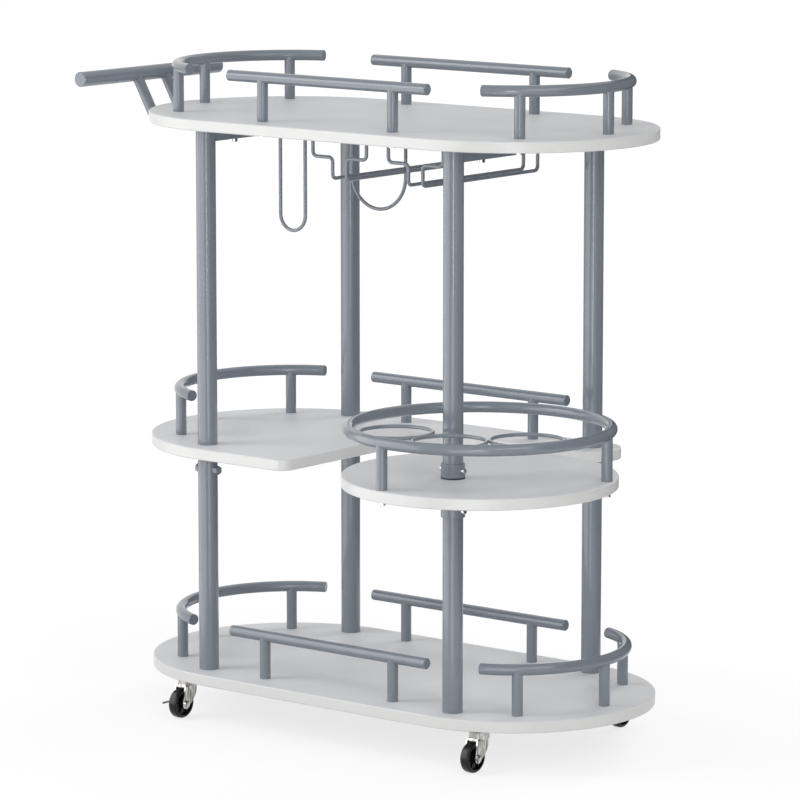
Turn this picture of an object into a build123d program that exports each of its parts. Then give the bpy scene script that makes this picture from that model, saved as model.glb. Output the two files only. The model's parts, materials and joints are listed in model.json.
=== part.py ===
from build123d import *
import os
from math import cos, radians, sin, sqrt, tan

os.makedirs("parts", exist_ok=True)

# Bar cart on four swivel casters. Millimetres, +Z up, +X to the right, handle at the -X end.
# The origin is on the floor, in the middle between the four posts.

# Boards: one stadium outline for the top and bottom boards, cut to an L for the shelf
BOARD_LENGTH = 711.0
BOARD_WIDTH = 357.0
BOARD_THICKNESS = 14.0
BOARD_EASE = 1.0
EDGE_INSET = 36.2
SHELF_CORNER = 18.0
SHELF_INNER_CORNER = 40.0

# Heights
CASTER_HEIGHT = 53.7
SHELF_RISE = 288.5
TOP_RISE = 700.7

# Posts, the flanges that carry the shelf on three of them, and the bolts across them
POST_D = 25.0
POST_WALL = 1.2
POST_PITCH = 390.4
POST_HOLE_GAP = 0.15
FLANGE_D = 44.0
FLANGE_THICKNESS = 3.0
FLANGE_GAP = 0.1
BOLT_D = 5.0
BOLT_GAP = 0.1
BOLT_HEAD_D = 9.5
BOLT_BITE = 9.0
POST_BOLT_HEX = 10.0
POST_BOLT_HEAD = 6.0
POST_BOLT_DROP = 18.0

# Crossbars under the top board
CROSSBAR_WIDTH = 22.0
CROSSBAR_HEIGHT = 16.0
CROSSBAR_WALL = 1.5
CROSSBAR_BOLT_PITCH = 177.0
CROSSBAR_BOLT_HEAD = 5.0

# Guard rails
RAIL_D = 14.0
RAIL_LEG_D = 13.6
RAIL_LENGTH = 312.0
RAIL_LEG_PITCH = 204.4
RAIL_RISE = 54.2
CURVE_RISE = 56.5
CURVE_ANGLE = 137.0
CURVE_LEG_ANGLE = 50.0
RAIL_END_EASE = 0.8

# Stemware wires and bottle loops under the top board
WIRE_D = 4.6
WIRE_BEND = 6.0
FIRST_SLOT_X = -2.0
SLOT_PITCH = 118.5
SLOT_WIDTH = 22.1
SLOT_LEG_PITCH = 84.4
SLOT_LENGTH = 231.0
RUN_DROP = 52.6
STEP_DROP = 26.6
LOOP_X = -89.5
NECK_LOOP_Y = -100.0
NECK_LOOP_WIDTH = 39.8
NECK_LOOP_DROP = 123.9
BODY_LOOP_Y = 70.0
BODY_LOOP_WIDTH = 87.0
BODY_LOOP_DROP = 113.1

# Push handle
HANDLE_REACH = 57.5
HANDLE_RISE = 33.7
GRIP_D = 19.3
GRIP_LENGTH = 269.0
GRIP_EASE = 0.8
STRUT_D = 14.0
STRUT_PITCH = 54.0
STRUT_LEAN = 29.9
STRUT_BEND = 20.0
STRUT_HOLD = 95.5
HANDLE_BOLT_INSET = 30.0
HANDLE_BOLT_PITCH = 45.0
HANDLE_BOLT_HEAD = 4.0

# Swivelling tray on the front right post
TRAY_D = 336.4
TRAY_OFFSET_X = 9.2
TRAY_OFFSET_Y = 41.0
TRAY_SWEEP_GAP = 24.6
RING_INSET = 8.9
RING_LEGS = 3
RING_LEG_ANGLE = -99.4
BOTTLE_RINGS = 3
BOTTLE_RING_ANGLE = -72.5
BOTTLE_RING_STEP = 52.2
WELD_DEPTH = 0.15
HUB_D = 30.0
HUB_DROP = 16.6
HUB_FLANGE_D = 64.0
HUB_FLANGE_THICKNESS = 3.0
HUB_HOLE_GAP = 0.1
RUNNING_FIT = 0.06
TRAY_PLAY = 0.2
COLLAR_D = 29.6
COLLAR_HEIGHT = 16.9
COLLAR_EASE = 0.6
COLLAR_GAP = 0.1
WASHER_THICKNESS = 1.2
COLLAR_SCREW_HEAD = 3.2
COLLAR_SCREW_END = 2.5

# Casters
CASTER_INSET_X = 121.5
CASTER_INSET_Y = 39.5
CASTER_TRAIL = 13.5
STEM_D = 8.0
STEM_BITE = 11.0
RACE_D = 23.0
RACE_HEIGHT = 3.4
SWIVEL_PLAY = 0.3
DRUM_D = 25.6
DRUM_HEIGHT = 7.9
DRUM_EASE = 1.0
RIVET_D = 12.0
RIVET_HEIGHT = 2.0
FORK_SHEET = 2.0
FORK_BEND = 2.0
FORK_BACK = 11.3
FORK_FRONT = 14.3
LEG_END_D = 13.6
WHEEL_D = 38.0
WHEEL_WIDTH = 12.5
WHEEL_SIDE_GAP = 0.8
TREAD_EDGE = 3.6
RIM_D = 30.0
WEB_THICKNESS = 4.0
HUB_BOSS_D = 12.0
WHEEL_RIBS = 6
RIB_THICKNESS = 1.4
AXLE_D = 5.0
AXLE_HEAD_D = 8.5
AXLE_HEAD = 1.6
BRAKE_SHEET = 1.5
BRAKE_PLAY = 0.3
BRAKE_EYE_D = 11.0
BRAKE_REACH = 24.0
BRAKE_RISE = 2.3
PEDAL_LENGTH = 14.0
PEDAL_WIDTH = 4.0
PEDAL_CORNER = 3.5

# Values that follow from those above
BOTTOM_TOP = CASTER_HEIGHT + BOARD_THICKNESS
SHELF_TOP = BOTTOM_TOP + SHELF_RISE
SHELF_UNDER = SHELF_TOP - BOARD_THICKNESS
TOP_TOP = BOTTOM_TOP + TOP_RISE
TOP_UNDER = TOP_TOP - BOARD_THICKNESS
ARC_X = (BOARD_LENGTH - BOARD_WIDTH) / 2
LINE_Y = BOARD_WIDTH / 2 - EDGE_INSET
POST_X = POST_PITCH / 2
POST_R = POST_D / 2
BOLT_HOLE_R = BOLT_D / 2 + BOLT_GAP
POST_BOLT_Z = SHELF_UNDER - POST_BOLT_DROP
TRAY_X = POST_X + TRAY_OFFSET_X
TRAY_Y = -LINE_Y + TRAY_OFFSET_Y
TRAY_SWEEP = sqrt(TRAY_OFFSET_X**2 + TRAY_OFFSET_Y**2) + TRAY_D / 2
SHELF_CUT_X = POST_X - TRAY_SWEEP - TRAY_SWEEP_GAP
HUB_BOTTOM = SHELF_UNDER - HUB_DROP
UPPER_COLLAR_Z = SHELF_TOP + TRAY_PLAY + WASHER_THICKNESS
LOWER_COLLAR_Z = HUB_BOTTOM - TRAY_PLAY - COLLAR_HEIGHT
COLLAR_SCREW_Z = [UPPER_COLLAR_Z + COLLAR_HEIGHT / 2, LOWER_COLLAR_Z + COLLAR_HEIGHT / 2]
GRIP_X = -(BOARD_LENGTH / 2 + HANDLE_REACH)
GRIP_Z = TOP_TOP + HANDLE_RISE
STRUT_Z = TOP_UNDER - STRUT_D / 2
STRUT_KNEE_X = GRIP_X + (GRIP_Z - STRUT_Z) * tan(radians(STRUT_LEAN))
STRUT_END_X = -BOARD_LENGTH / 2 + STRUT_HOLD
AXLE_Z = WHEEL_D / 2
DRUM_TOP = CASTER_HEIGHT - RACE_HEIGHT - SWIVEL_PLAY
CROWN_TOP = DRUM_TOP - DRUM_HEIGHT
CROWN_UNDER = CROWN_TOP - FORK_SHEET
FORK_GAP = WHEEL_WIDTH + 2 * WHEEL_SIDE_GAP
FORK_WIDTH = FORK_GAP + 2 * FORK_SHEET

CORNERS = {
    "front_left": (-1, -1),
    "back_left": (-1, 1),
    "front_right": (1, -1),
    "back_right": (1, 1),
}
SHELF_CORNERS = ["front_left", "back_left", "back_right"]
BRAKED_CORNERS = ["front_left", "back_left"]


def post_xy(corner):
    side_x, side_y = CORNERS[corner]
    return side_x * POST_X, side_y * LINE_Y


def caster_xy(corner):
    side_x, side_y = CORNERS[corner]
    return side_x * (BOARD_LENGTH / 2 - CASTER_INSET_X), side_y * (BOARD_WIDTH / 2 - CASTER_INSET_Y)


crossbar_bolt_xy = [
    (side_x * POST_X, side_y * CROSSBAR_BOLT_PITCH / 2) for side_x in (-1, 1) for side_y in (-1, 1)
]
handle_bolt_xy = [
    (-BOARD_LENGTH / 2 + HANDLE_BOLT_INSET + step * HANDLE_BOLT_PITCH, side * STRUT_PITCH / 2)
    for step in (0, 1)
    for side in (-1, 1)
]
shelf_post_xy = [post_xy(corner) for corner in SHELF_CORNERS]
tray_post_xy = post_xy("front_right")

# Boards
with BuildPart() as top_board:
    with BuildSketch(Plane.XY.offset(TOP_UNDER)):
        SlotOverall(BOARD_LENGTH, BOARD_WIDTH)
    extrude(amount=BOARD_THICKNESS)
    chamfer(top_board.edges().group_by(Axis.Z)[0] + top_board.edges().group_by(Axis.Z)[-1], BOARD_EASE)
    with BuildSketch(Plane.XY.offset(TOP_UNDER)):
        with Locations(*crossbar_bolt_xy, *handle_bolt_xy):
            Circle(BOLT_HOLE_R)
    extrude(amount=BOLT_BITE, mode=Mode.SUBTRACT)
top_board.part.label = "top_board"
export_step(top_board.part, "parts/top_board.step")

with BuildPart() as bottom_board:
    with BuildSketch(Plane.XY.offset(CASTER_HEIGHT)):
        SlotOverall(BOARD_LENGTH, BOARD_WIDTH)
    extrude(amount=BOARD_THICKNESS)
    chamfer(bottom_board.edges().group_by(Axis.Z)[0] + bottom_board.edges().group_by(Axis.Z)[-1], BOARD_EASE)
    with BuildSketch(Plane.XY.offset(CASTER_HEIGHT)):
        with Locations(*[caster_xy(corner) for corner in CORNERS]):
            Circle(STEM_D / 2 + BOLT_GAP)
    extrude(amount=STEM_BITE, mode=Mode.SUBTRACT)
bottom_board.part.label = "bottom_board"
export_step(bottom_board.part, "parts/bottom_board.step")

# The shelf keeps the left part at full depth and a strip along the back that ends round the back right post
with BuildPart() as middle_shelf:
    with BuildSketch(Plane.XY.offset(SHELF_UNDER)) as shelf_outline:
        SlotOverall(BOARD_LENGTH, BOARD_WIDTH)
        with Locations((SHELF_CUT_X, 0)):
            Rectangle(BOARD_LENGTH, BOARD_WIDTH, align=(Align.MIN, Align.CENTER), mode=Mode.SUBTRACT)
        fillet(shelf_outline.vertices().sort_by(Axis.X)[-2:].sort_by(Axis.Y)[0], SHELF_CORNER)
        with BuildLine():
            root_x = SHELF_CUT_X - EDGE_INSET
            strip_back = Line((root_x, LINE_Y + EDGE_INSET), (POST_X, LINE_Y + EDGE_INSET))
            strip_end = RadiusArc(strip_back @ 1, (POST_X, LINE_Y - EDGE_INSET), EDGE_INSET)
            strip_front = FilletPolyline(
                strip_end @ 1,
                (SHELF_CUT_X, LINE_Y - EDGE_INSET),
                (SHELF_CUT_X, 0),
                radius=SHELF_INNER_CORNER,
            )
            Polyline(strip_front @ 1, (root_x, 0), strip_back @ 0)
        make_face()
    extrude(amount=BOARD_THICKNESS)
    chamfer(middle_shelf.edges().group_by(Axis.Z)[0] + middle_shelf.edges().group_by(Axis.Z)[-1], BOARD_EASE)
    with BuildSketch(Plane.XY.offset(SHELF_UNDER)):
        with Locations(*shelf_post_xy):
            Circle(POST_R + POST_HOLE_GAP)
    extrude(amount=BOARD_THICKNESS, mode=Mode.SUBTRACT)
    with BuildSketch(Plane.XY.offset(SHELF_UNDER)):
        with Locations(*shelf_post_xy):
            Circle(FLANGE_D / 2 + FLANGE_GAP)
    extrude(amount=FLANGE_THICKNESS, mode=Mode.SUBTRACT)
middle_shelf.part.label = "middle_shelf"
export_step(middle_shelf.part, "parts/middle_shelf.step")


# Posts: one tube each, drilled across for the bolts or the collar screws
def make_post(corner):
    node = "post_" + corner
    post_x, post_y = post_xy(corner)
    cross_z = [POST_BOLT_Z] if corner in SHELF_CORNERS else COLLAR_SCREW_Z
    with BuildPart() as post:
        with BuildSketch(Plane((post_x, post_y, BOTTOM_TOP))):
            Circle(POST_R)
            Circle(POST_R - POST_WALL, mode=Mode.SUBTRACT)
        extrude(amount=TOP_UNDER - BOTTOM_TOP)
        with BuildSketch(Plane.YZ.offset(post_x)):
            with Locations(*[(post_y, hole_z) for hole_z in cross_z]):
                Circle(BOLT_HOLE_R)
        extrude(amount=POST_D, both=True, mode=Mode.SUBTRACT)
    post.part.label = node
    export_step(post.part, f"parts/{node}.step")


for corner in CORNERS:
    make_post(corner)

# The flanges are let into the shelf from below, flush with its underside
with BuildPart() as shelf_flanges:
    with BuildSketch(Plane.XY.offset(SHELF_UNDER)):
        with Locations(*shelf_post_xy):
            Circle(FLANGE_D / 2)
            Circle(POST_R, mode=Mode.SUBTRACT)
    extrude(amount=FLANGE_THICKNESS)
shelf_flanges.part.label = "shelf_flanges"
export_step(shelf_flanges.part, "parts/shelf_flanges.step")

with BuildPart() as post_bolts:
    for post_x, post_y in shelf_post_xy:
        with BuildSketch(Plane.YZ.offset(post_x)):
            with Locations((post_y, POST_BOLT_Z)):
                Circle(BOLT_D / 2)
        extrude(amount=POST_R, both=True)
        for side in (-1, 1):
            with BuildSketch(Plane.YZ.offset(post_x + side * POST_R)):
                with Locations((post_y, POST_BOLT_Z)):
                    RegularPolygon(POST_BOLT_HEX / 2, 6, major_radius=False, rotation=90)
            extrude(amount=side * POST_BOLT_HEAD)
post_bolts.part.label = "post_bolts"
export_step(post_bolts.part, "parts/post_bolts.step")


# Crossbars: rectangular tube, coped round the posts at both ends
def make_crossbar(node, side):
    bar_x = side * POST_X
    with BuildPart() as crossbar:
        with BuildSketch(Plane.XZ.offset(-LINE_Y)):
            with Locations((bar_x, TOP_UNDER - CROSSBAR_HEIGHT / 2)):
                Rectangle(CROSSBAR_WIDTH, CROSSBAR_HEIGHT)
                Rectangle(
                    CROSSBAR_WIDTH - 2 * CROSSBAR_WALL,
                    CROSSBAR_HEIGHT - 2 * CROSSBAR_WALL,
                    mode=Mode.SUBTRACT,
                )
        extrude(amount=2 * LINE_Y)
        with BuildSketch(Plane.XY.offset(TOP_UNDER - CROSSBAR_HEIGHT)):
            with Locations((bar_x, -LINE_Y), (bar_x, LINE_Y)):
                Circle(POST_R)
            with Locations(*[point for point in crossbar_bolt_xy if point[0] == bar_x]):
                Circle(BOLT_HOLE_R)
        extrude(amount=CROSSBAR_HEIGHT, mode=Mode.SUBTRACT)
    crossbar.part.label = node
    export_step(crossbar.part, f"parts/{node}.step")


make_crossbar("crossbar_left", -1)
make_crossbar("crossbar_right", 1)


# Bolts that come up from below into the top board
def make_board_bolts(node, points, seat_z, head_height):
    with BuildPart() as bolts:
        with BuildSketch(Plane.XY.offset(seat_z - head_height)):
            with Locations(*points):
                Circle(BOLT_HEAD_D / 2)
        extrude(amount=head_height)
        with BuildSketch(Plane.XY.offset(seat_z)):
            with Locations(*points):
                Circle(BOLT_D / 2)
        extrude(amount=TOP_UNDER + BOLT_BITE - seat_z)
    bolts.part.label = node
    export_step(bolts.part, f"parts/{node}.step")


make_board_bolts("crossbar_bolts", crossbar_bolt_xy, TOP_UNDER - CROSSBAR_HEIGHT, CROSSBAR_BOLT_HEAD)
make_board_bolts("handle_bolts", handle_bolt_xy, TOP_UNDER - STRUT_D, HANDLE_BOLT_HEAD)


# Guard rails: a bar on round uprights, straight along the sides and bent round the ends
def make_straight_rail(node, deck_z, side):
    rail_y = side * LINE_Y
    with BuildPart() as rail:
        with BuildSketch(Plane.YZ):
            with Locations((rail_y, deck_z + RAIL_RISE)):
                Circle(RAIL_D / 2)
        extrude(amount=RAIL_LENGTH / 2, both=True)
        chamfer(rail.edges().group_by(Axis.X)[0] + rail.edges().group_by(Axis.X)[-1], RAIL_END_EASE)
        with BuildSketch(Plane.XY.offset(deck_z)):
            with Locations((-RAIL_LEG_PITCH / 2, rail_y), (RAIL_LEG_PITCH / 2, rail_y)):
                Circle(RAIL_LEG_D / 2)
        extrude(amount=RAIL_RISE)
    rail.part.label = node
    export_step(rail.part, f"parts/{node}.step")


def make_curved_rail(node, deck_z, side):
    facing = 0 if side > 0 else 180
    legs = [facing + turn * CURVE_LEG_ANGLE for turn in (-1, 0, 1)]
    with BuildPart() as rail:
        with BuildLine(Plane.XY.offset(deck_z + CURVE_RISE)) as bend:
            CenterArc((side * ARC_X, 0), LINE_Y, facing - CURVE_ANGLE / 2, CURVE_ANGLE)
        with BuildSketch(Plane(bend.line ^ 0)):
            Circle(RAIL_D / 2)
        sweep(path=bend.line)
        chamfer(rail.edges().sort_by(SortBy.LENGTH)[:2], RAIL_END_EASE)
        with BuildSketch(Plane((side * ARC_X, 0, deck_z))):
            with Locations(*[(LINE_Y * cos(radians(leg)), LINE_Y * sin(radians(leg))) for leg in legs]):
                Circle(RAIL_LEG_D / 2)
        extrude(amount=CURVE_RISE)
    rail.part.label = node
    export_step(rail.part, f"parts/{node}.step")


make_straight_rail("top_rail_front", TOP_TOP, -1)
make_straight_rail("top_rail_back", TOP_TOP, 1)
make_curved_rail("top_rail_left", TOP_TOP, -1)
make_curved_rail("top_rail_right", TOP_TOP, 1)
make_straight_rail("shelf_rail_back", SHELF_TOP, 1)
make_curved_rail("shelf_rail_left", SHELF_TOP, -1)
make_straight_rail("bottom_rail_front", BOTTOM_TOP, -1)
make_straight_rail("bottom_rail_back", BOTTOM_TOP, 1)
make_curved_rail("bottom_rail_left", BOTTOM_TOP, -1)
make_curved_rail("bottom_rail_right", BOTTOM_TOP, 1)


# Stemware wires: legs, a raised step that stops the glass, and a long low run between the steps
def make_glass_wire(node, slot_x, side):
    leg_x = slot_x + side * SLOT_LEG_PITCH / 2
    run_x = slot_x + side * SLOT_WIDTH / 2
    step_z = TOP_UNDER - STEP_DROP
    front_y = -SLOT_LENGTH / 2
    back_y = SLOT_LENGTH / 2
    with BuildPart() as wire:
        with BuildLine() as route:
            FilletPolyline(
                (leg_x, front_y, TOP_UNDER),
                (leg_x, front_y, step_z),
                (run_x, front_y, step_z),
                (run_x, front_y, TOP_UNDER - RUN_DROP),
                (run_x, back_y, TOP_UNDER - RUN_DROP),
                (run_x, back_y, step_z),
                (leg_x, back_y, step_z),
                (leg_x, back_y, TOP_UNDER),
                radius=WIRE_BEND,
            )
        with BuildSketch(Plane(route.line ^ 0)):
            Circle(WIRE_D / 2)
        sweep(path=route.line)
    wire.part.label = node
    export_step(wire.part, f"parts/{node}.step")


make_glass_wire("glass_wire_a", FIRST_SLOT_X, -1)
make_glass_wire("glass_wire_b", FIRST_SLOT_X, 1)
make_glass_wire("glass_wire_c", FIRST_SLOT_X + SLOT_PITCH, -1)
make_glass_wire("glass_wire_d", FIRST_SLOT_X + SLOT_PITCH, 1)


# Bottle loops: two legs and a half-round cradle, across the bottle that lies in them
def make_bottle_loop(node, loop_y, width, drop):
    cradle_z = TOP_UNDER - drop + width / 2
    with BuildPart() as loop:
        with BuildLine(Plane.XZ.offset(-loop_y)) as route:
            left_leg = Line((LOOP_X - width / 2, TOP_UNDER), (LOOP_X - width / 2, cradle_z))
            cradle = CenterArc((LOOP_X, cradle_z), width / 2, 180, 180)
            Line(cradle @ 1, (LOOP_X + width / 2, TOP_UNDER))
        with BuildSketch(Plane(left_leg ^ 0)):
            Circle(WIRE_D / 2)
        sweep(path=route.line)
    loop.part.label = node
    export_step(loop.part, f"parts/{node}.step")


make_bottle_loop("bottle_loop_neck", NECK_LOOP_Y, NECK_LOOP_WIDTH, NECK_LOOP_DROP)
make_bottle_loop("bottle_loop_body", BODY_LOOP_Y, BODY_LOOP_WIDTH, BODY_LOOP_DROP)

# Push handle: the grip bar on two struts that bend under the top board
with BuildPart() as push_handle:
    with BuildSketch(Plane.XZ):
        with Locations((GRIP_X, GRIP_Z)):
            Circle(GRIP_D / 2)
    extrude(amount=GRIP_LENGTH / 2, both=True)
    chamfer(push_handle.edges().group_by(Axis.Y)[0] + push_handle.edges().group_by(Axis.Y)[-1], GRIP_EASE)
    for side in (-1, 1):
        with BuildLine(Plane.XZ.offset(-side * STRUT_PITCH / 2)) as strut_route:
            FilletPolyline(
                (GRIP_X, GRIP_Z),
                (STRUT_KNEE_X, STRUT_Z),
                (STRUT_END_X, STRUT_Z),
                radius=STRUT_BEND,
            )
        with BuildSketch(Plane(strut_route.line ^ 0)):
            Circle(STRUT_D / 2)
        sweep(path=strut_route.line)
    with BuildSketch(Plane.XY.offset(TOP_UNDER - STRUT_D)):
        with Locations(*handle_bolt_xy):
            Circle(BOLT_HOLE_R)
    extrude(amount=STRUT_D, mode=Mode.SUBTRACT)
push_handle.part.label = "push_handle"
export_step(push_handle.part, "parts/push_handle.step")

# Tray: board, hub, ring rail on three uprights, and three wire rings for bottles
with BuildPart() as tray_board:
    with BuildSketch(Plane((TRAY_X, TRAY_Y, SHELF_UNDER))):
        Circle(TRAY_D / 2)
    extrude(amount=BOARD_THICKNESS)
    chamfer(tray_board.edges(), BOARD_EASE)
    with BuildSketch(Plane.XY.offset(SHELF_UNDER)):
        with Locations(tray_post_xy):
            Circle(HUB_D / 2 + HUB_HOLE_GAP)
    extrude(amount=BOARD_THICKNESS, mode=Mode.SUBTRACT)
tray_board.part.label = "tray_board"
export_step(tray_board.part, "parts/tray_board.step")

with BuildPart() as tray_hub:
    with BuildSketch(Plane((*tray_post_xy, HUB_BOTTOM))):
        Circle(HUB_D / 2)
    extrude(amount=SHELF_TOP - HUB_BOTTOM)
    with BuildSketch(Plane((*tray_post_xy, SHELF_UNDER))):
        Circle(HUB_FLANGE_D / 2)
    extrude(amount=-HUB_FLANGE_THICKNESS)
    with BuildSketch(Plane((*tray_post_xy, HUB_BOTTOM))):
        Circle(POST_R + RUNNING_FIT)
    extrude(amount=SHELF_TOP - HUB_BOTTOM, mode=Mode.SUBTRACT)
tray_hub.part.label = "tray_hub"
export_step(tray_hub.part, "parts/tray_hub.step")

RING_R = TRAY_D / 2 - RING_INSET
with BuildPart() as tray_ring:
    with Locations((TRAY_X, TRAY_Y, SHELF_TOP + CURVE_RISE)):
        Torus(RING_R, RAIL_D / 2)
    with BuildSketch(Plane((TRAY_X, TRAY_Y, SHELF_TOP))):
        with PolarLocations(RING_R, RING_LEGS, start_angle=RING_LEG_ANGLE):
            Circle(RAIL_LEG_D / 2)
    extrude(amount=CURVE_RISE)
tray_ring.part.label = "tray_ring"
export_step(tray_ring.part, "parts/tray_ring.step")

# The bottle rings touch the ring rail and each other, and every touching place is a small weld
ring_room = RING_R - RAIL_D / 2
half_step = sin(radians(BOTTLE_RING_STEP / 2))
bottle_ring_outer = (ring_room + WELD_DEPTH) * half_step / (1 + half_step) + WELD_DEPTH / 2
bottle_ring_orbit = ring_room + WELD_DEPTH - bottle_ring_outer
first_ring_turn = BOTTLE_RING_ANGLE - (BOTTLE_RINGS - 1) / 2 * BOTTLE_RING_STEP
bottle_ring_turns = [first_ring_turn + n * BOTTLE_RING_STEP for n in range(BOTTLE_RINGS)]
with BuildPart() as bottle_rings:
    with Locations(
        *[
            (
                TRAY_X + bottle_ring_orbit * cos(radians(turn)),
                TRAY_Y + bottle_ring_orbit * sin(radians(turn)),
                SHELF_TOP + CURVE_RISE,
            )
            for turn in bottle_ring_turns
        ]
    ):
        Torus(bottle_ring_outer - WIRE_D / 2, WIRE_D / 2)
bottle_rings.part.label = "bottle_rings"
export_step(bottle_rings.part, "parts/bottle_rings.step")


# Stop collars: fixed on the post above and below the tray, each with a screw right through
def make_stop_collar(node, collar_z):
    with BuildPart() as collar:
        with BuildSketch(Plane((*tray_post_xy, collar_z))):
            Circle(COLLAR_D / 2)
            Circle(POST_R + COLLAR_GAP, mode=Mode.SUBTRACT)
        extrude(amount=COLLAR_HEIGHT)
        rims = collar.edges().filter_by(GeomType.CIRCLE).group_by(SortBy.LENGTH)[-1]
        chamfer(rims, COLLAR_EASE)
        with BuildSketch(Plane.YZ.offset(tray_post_xy[0])):
            with Locations((tray_post_xy[1], collar_z + COLLAR_HEIGHT / 2)):
                Circle(BOLT_HOLE_R)
        extrude(amount=COLLAR_D, both=True, mode=Mode.SUBTRACT)
    collar.part.label = node
    export_step(collar.part, f"parts/{node}.step")


make_stop_collar("stop_collar_upper", UPPER_COLLAR_Z)
make_stop_collar("stop_collar_lower", LOWER_COLLAR_Z)

with BuildPart() as collar_washer:
    with BuildSketch(Plane((*tray_post_xy, SHELF_TOP + TRAY_PLAY))):
        Circle(COLLAR_D / 2)
        Circle(POST_R + COLLAR_GAP, mode=Mode.SUBTRACT)
    extrude(amount=WASHER_THICKNESS)
collar_washer.part.label = "collar_washer"
export_step(collar_washer.part, "parts/collar_washer.step")

with BuildPart() as collar_screws:
    for screw_z in COLLAR_SCREW_Z:
        with BuildSketch(Plane.YZ.offset(tray_post_xy[0] - COLLAR_D / 2 - COLLAR_SCREW_END)):
            with Locations((tray_post_xy[1], screw_z)):
                Circle(BOLT_D / 2)
        extrude(amount=COLLAR_D + COLLAR_SCREW_END)
        with BuildSketch(Plane.YZ.offset(tray_post_xy[0] + COLLAR_D / 2)):
            with Locations((tray_post_xy[1], screw_z)):
                Circle(BOLT_HEAD_D / 2)
        extrude(amount=COLLAR_SCREW_HEAD)
collar_screws.part.label = "collar_screws"
export_step(collar_screws.part, "parts/collar_screws.step")


# Casters: fixed stem, swivelling fork, riveted axle, wheel, and a foot brake on two of them
def make_caster_stem(corner):
    node = "caster_stem_" + corner
    stem_x, stem_y = caster_xy(corner)
    pin_bottom = CROWN_UNDER - SWIVEL_PLAY
    with BuildPart() as stem:
        with BuildSketch(Plane((stem_x, stem_y, pin_bottom))):
            Circle(STEM_D / 2)
        extrude(amount=CASTER_HEIGHT + STEM_BITE - pin_bottom)
        with BuildSketch(Plane((stem_x, stem_y, CASTER_HEIGHT))):
            Circle(RACE_D / 2)
        extrude(amount=-RACE_HEIGHT)
        with BuildSketch(Plane((stem_x, stem_y, pin_bottom))):
            Circle(RIVET_D / 2)
        extrude(amount=-RIVET_HEIGHT)
    stem.part.label = node
    export_step(stem.part, f"parts/{node}.step")


# The fork is pressed from one sheet: flat legs, a round back that joins them and a drum on top
def make_caster_fork(corner):
    node = "caster_fork_" + corner
    fork_x, fork_y = caster_xy(corner)
    trail = CORNERS[corner][1]
    axle_y = fork_y + trail * CASTER_TRAIL
    back_y = fork_y - trail * (FORK_BACK - FORK_SHEET / 2)
    yoke_length = CASTER_TRAIL + LEG_END_D
    drum_foot = CROWN_TOP - FORK_SHEET / 2
    with BuildPart() as fork:
        with BuildSketch(Plane((fork_x, fork_y, 0), x_dir=(1, 0, 0), z_dir=(0, -1, 0))) as yoke:
            Rectangle(FORK_WIDTH, CROWN_TOP, align=(Align.CENTER, Align.MIN))
            fillet(yoke.vertices().group_by(Axis.Z)[-1], FORK_BEND)
        extrude(amount=-trail * yoke_length)
        with BuildSketch(Plane((fork_x, fork_y, 0))):
            Circle(FORK_BACK)
        extrude(amount=CROWN_TOP)
        with BuildSketch(Plane.YZ.offset(fork_x)):
            with BuildLine():
                Line((back_y, CROWN_TOP), (fork_y + trail * FORK_FRONT, CROWN_TOP))
                CenterArc((axle_y, AXLE_Z), LEG_END_D / 2, 0, 360)
            make_hull()
        extrude(amount=FORK_WIDTH, both=True, mode=Mode.INTERSECT)
        with BuildSketch(Plane((fork_x, fork_y, 0))):
            Circle(FORK_BACK - FORK_SHEET)
            with Locations((0, trail * yoke_length / 2)):
                Rectangle(FORK_GAP, yoke_length)
        extrude(amount=CROWN_UNDER, mode=Mode.SUBTRACT)
        with BuildSketch(Plane((fork_x, fork_y, drum_foot))):
            Circle(DRUM_D / 2)
        extrude(amount=DRUM_TOP - drum_foot)
        fillet(fork.edges().group_by(Axis.Z)[-1], DRUM_EASE)
        with BuildSketch(Plane((fork_x, fork_y, CROWN_UNDER))):
            Circle(STEM_D / 2 + RUNNING_FIT)
        extrude(amount=CASTER_HEIGHT, mode=Mode.SUBTRACT)
        with BuildSketch(Plane.YZ.offset(fork_x)):
            with Locations((axle_y, AXLE_Z)):
                Circle(AXLE_D / 2)
        extrude(amount=FORK_WIDTH, both=True, mode=Mode.SUBTRACT)
    fork.part.label = node
    export_step(fork.part, f"parts/{node}.step")


def make_caster_axle(corner):
    node = "caster_axle_" + corner
    fork_x, fork_y = caster_xy(corner)
    axle_y = fork_y + CORNERS[corner][1] * CASTER_TRAIL
    left_end = fork_x - FORK_WIDTH / 2
    right_end = fork_x + FORK_WIDTH / 2
    if corner in BRAKED_CORNERS:
        left_end -= BRAKE_SHEET + 2 * BRAKE_PLAY
    with BuildPart() as axle:
        with BuildSketch(Plane.YZ.offset(left_end)):
            with Locations((axle_y, AXLE_Z)):
                Circle(AXLE_D / 2)
        extrude(amount=right_end - left_end)
        for end_x, outward in ((left_end, -1), (right_end, 1)):
            with BuildSketch(Plane.YZ.offset(end_x)):
                with Locations((axle_y, AXLE_Z)):
                    Circle(AXLE_HEAD_D / 2)
            extrude(amount=outward * AXLE_HEAD)
    axle.part.label = node
    export_step(axle.part, f"parts/{node}.step")


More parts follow.
